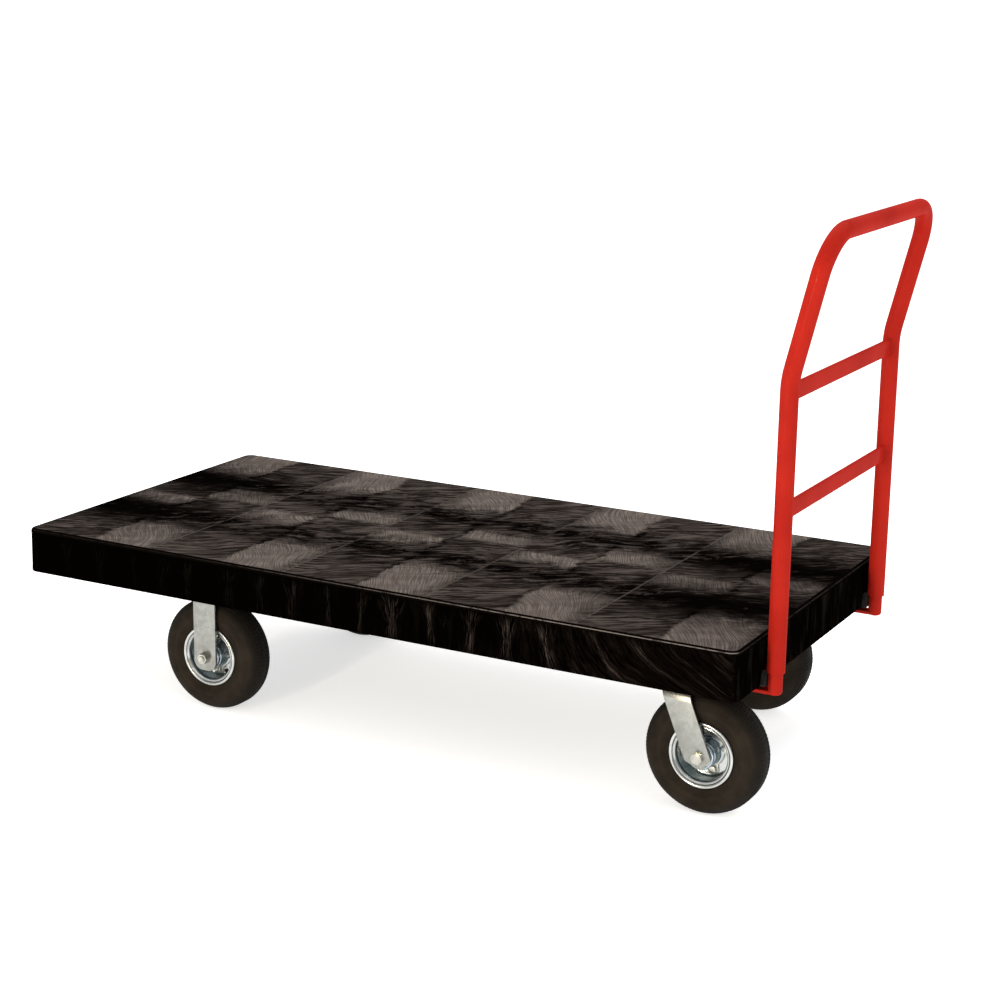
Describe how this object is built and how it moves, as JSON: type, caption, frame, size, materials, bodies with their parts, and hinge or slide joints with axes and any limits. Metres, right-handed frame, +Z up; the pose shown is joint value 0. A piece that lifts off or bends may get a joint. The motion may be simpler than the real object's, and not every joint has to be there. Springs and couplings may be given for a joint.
{
  "type": "platform cart",
  "caption": "Platform cart with a moulded ribbed deck, a lift-off tubular push handle with crossbars, fixed casters at one end, swivel casters at the other, and pneumatic wheels.",
  "frame": {"origin": "on the floor, in the middle of the cart's whole outline", "axes": "+X towards the handle end, +Y to the right side seen from the handle, +Z up"},
  "size_m": [1.621, 0.762, 1.0423],
  "materials": {
    "deck_resin": "moulded, swirled, satin",
    "channel_steel": "black dip paint",
    "handle_paint": "semi-gloss powder coat",
    "fork_zinc": "bright zinc plate",
    "rim_zinc": "bright zinc plate",
    "hub_zinc": "bright blue-tinted zinc plate",
    "fastener_zinc": "zinc plate",
    "tyre_rubber": "matte moulded rubber",
    "tube_rubber": "matte",
    "bearing_steel": "ground steel"
  },
  "bodies": {
    "cart": {"deck": "deck_resin", "front_channel": "channel_steel", "rear_channel": "channel_steel", "caster_bolts": "fastener_zinc", "caster_nuts": "fastener_zinc", "post_bolts": "fastener_zinc", "left_post": "handle_paint", "right_post": "handle_paint", "left_fixed_fork": "fork_zinc", "right_fixed_fork": "fork_zinc", "fixed_axle_bolts": "fastener_zinc", "fixed_axle_nuts": "fastener_zinc", "fixed_axle_spacers": "bearing_steel", "left_swivel_top_plate": "fork_zinc", "right_swivel_top_plate": "fork_zinc"},
    "handle": {"handle_tube": "handle_paint", "upper_crossbar": "handle_paint", "lower_crossbar": "handle_paint"},
    "left_fixed_wheel": {"left_fixed_tyre": "tyre_rubber", "left_fixed_inner_tube": "tube_rubber", "left_fixed_outer_rim": "rim_zinc", "left_fixed_inner_rim": "rim_zinc", "left_fixed_rim_bolts": "fastener_zinc", "left_fixed_hub": "hub_zinc", "left_fixed_bearings": "bearing_steel"},
    "right_fixed_wheel": {"right_fixed_tyre": "tyre_rubber", "right_fixed_inner_tube": "tube_rubber", "right_fixed_outer_rim": "rim_zinc", "right_fixed_inner_rim": "rim_zinc", "right_fixed_rim_bolts": "fastener_zinc", "right_fixed_hub": "hub_zinc", "right_fixed_bearings": "bearing_steel"},
    "left_swivel": {"left_swivel_fork": "fork_zinc", "left_swivel_axle_bolt": "fastener_zinc", "left_swivel_axle_nut": "fastener_zinc", "left_swivel_axle_spacer": "bearing_steel", "left_swivel_race_balls": "bearing_steel", "left_swivel_kingpin": "bearing_steel"},
    "left_swivel_wheel": {"left_swivel_tyre": "tyre_rubber", "left_swivel_inner_tube": "tube_rubber", "left_swivel_outer_rim": "rim_zinc", "left_swivel_inner_rim": "rim_zinc", "left_swivel_rim_bolts": "fastener_zinc", "left_swivel_hub": "hub_zinc", "left_swivel_bearings": "bearing_steel"},
    "right_swivel": {"right_swivel_fork": "fork_zinc", "right_swivel_axle_bolt": "fastener_zinc", "right_swivel_axle_nut": "fastener_zinc", "right_swivel_axle_spacer": "bearing_steel", "right_swivel_race_balls": "bearing_steel", "right_swivel_kingpin": "bearing_steel"},
    "right_swivel_wheel": {"right_swivel_tyre": "tyre_rubber", "right_swivel_inner_tube": "tube_rubber", "right_swivel_outer_rim": "rim_zinc", "right_swivel_inner_rim": "rim_zinc", "right_swivel_rim_bolts": "fastener_zinc", "right_swivel_hub": "hub_zinc", "right_swivel_bearings": "bearing_steel"}
  },
  "joints": [
    {"name": "handle_lift", "type": "slide", "parent": "cart", "child": "handle", "axis": [0, 0, 1], "range_m": [0, 0.16]},
    {"name": "left_fixed_spin", "type": "hinge", "parent": "cart", "child": "left_fixed_wheel", "pos_m": [-0.42894, -0.268, 0.112], "axis": [0, 1, 0], "continuous": true},
    {"name": "right_fixed_spin", "type": "hinge", "parent": "cart", "child": "right_fixed_wheel", "pos_m": [-0.42894, 0.268, 0.112], "axis": [0, 1, 0], "continuous": true},
    {"name": "left_swivel_turn", "type": "hinge", "parent": "cart", "child": "left_swivel", "pos_m": [0.55886, -0.268, 0.23], "axis": [0, 0, 1], "continuous": true},
    {"name": "left_swivel_spin", "type": "hinge", "parent": "left_swivel", "child": "left_swivel_wheel", "pos_m": [0.61936, -0.268, 0.112], "axis": [0, 1, 0], "continuous": true},
    {"name": "right_swivel_turn", "type": "hinge", "parent": "cart", "child": "right_swivel", "pos_m": [0.55886, 0.268, 0.23], "axis": [0, 0, 1], "continuous": true},
    {"name": "right_swivel_spin", "type": "hinge", "parent": "right_swivel", "child": "right_swivel_wheel", "pos_m": [0.49836, 0.268, 0.112], "axis": [0, 1, 0], "continuous": true}
  ]
}
